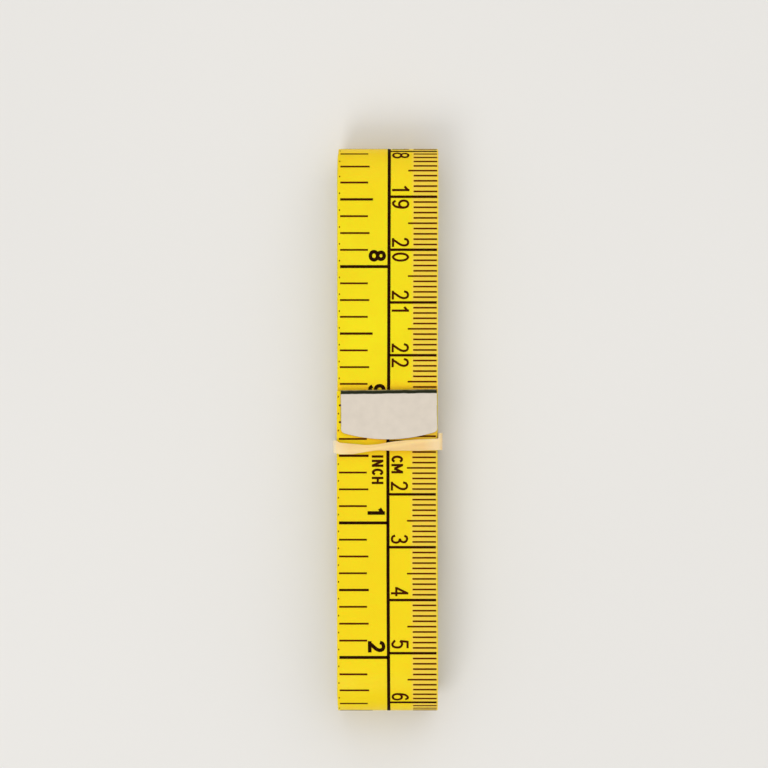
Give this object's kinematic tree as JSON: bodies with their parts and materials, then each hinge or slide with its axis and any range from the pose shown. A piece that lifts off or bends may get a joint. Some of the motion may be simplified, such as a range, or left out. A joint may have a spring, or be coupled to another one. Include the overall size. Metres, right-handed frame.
{
  "type": "cloth tape measure",
  "caption": "Flexible coated-cloth tape measure wound flat into a long oval, with a folded metal clip crimped on each end and a rubber band drawing in its waist.",
  "frame": {"origin": "centre of the bounding box on the surface that the wound tape lies on", "axes": "+Y along the winding towards the end that the zero clip's fold faces; +X across the tape to the right as the front is seen; +Z out of the front face, up from the surface it lies on"},
  "size_m": [0.021, 0.1072, 0.013],
  "materials": {
    "tape": "yellow coating over woven glass fibre, satin",
    "clip_metal": "nickel-plated thin sheet, satin",
    "band_rubber": "natural rubber, cream, slightly translucent"
  },
  "bodies": {
    "bundle": {"wound_tape": "tape", "far_end_clip": "clip_metal"},
    "free_end": {"tape_free_end": "tape", "zero_end_clip": "clip_metal"},
    "band": {"rubber_band": "band_rubber"}
  },
  "joints": [
    {"name": "free_end_lift", "type": "hinge", "parent": "bundle", "child": "free_end", "pos_m": [0, -0.00186, 0.01219], "axis": [1, 0, 0], "range_deg": [0, 60], "stiffness_Nm_per_rad": 0.0005},
    {"name": "band_slide", "type": "slide", "parent": "bundle", "child": "band", "axis": [0, 1, 0], "range_m": [-0.024, 0]}
  ]
}
